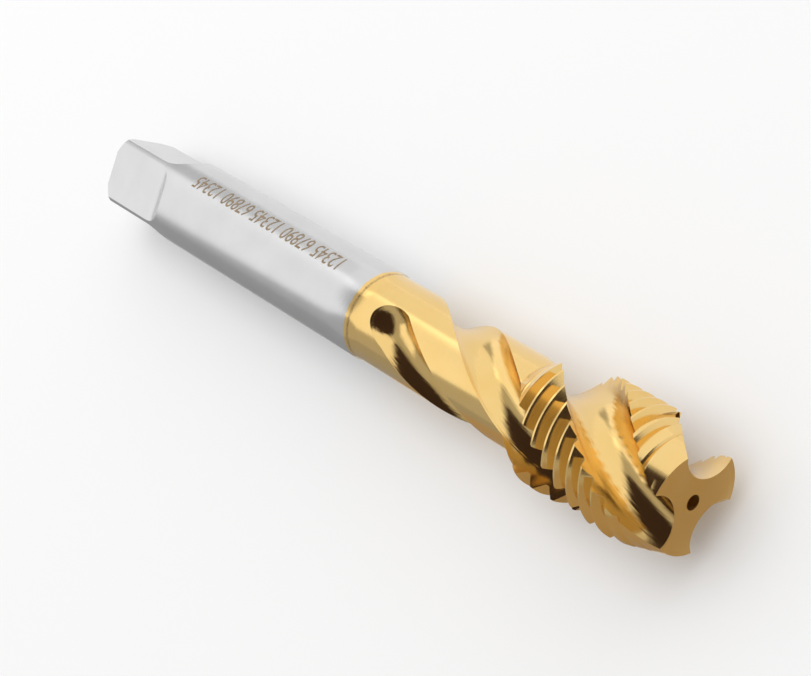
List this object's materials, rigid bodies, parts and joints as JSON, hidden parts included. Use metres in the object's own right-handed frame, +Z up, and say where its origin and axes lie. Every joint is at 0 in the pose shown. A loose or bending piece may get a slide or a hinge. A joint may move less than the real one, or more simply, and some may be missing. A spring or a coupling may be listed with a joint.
{
  "type": "thread tap",
  "caption": "Spiral-flute machine tap for cutting an internal right-hand metric thread in a blind hole, with a plain shank and a square drive end.",
  "frame": {"origin": "on the tap's axis, in the plane of the square's end face", "axes": "+X along the axis from the driving square to the cutting tip, +Z up as the tap lies on a table"},
  "size_m": [0.11, 0.016, 0.016],
  "materials": {
    "tool_steel": "ground satin on the shank and square, thin gold-coloured hard coat from the neck to the tip"
  },
  "bodies": {
    "root": {"tap": "tool_steel"}
  },
  "joints": []
}
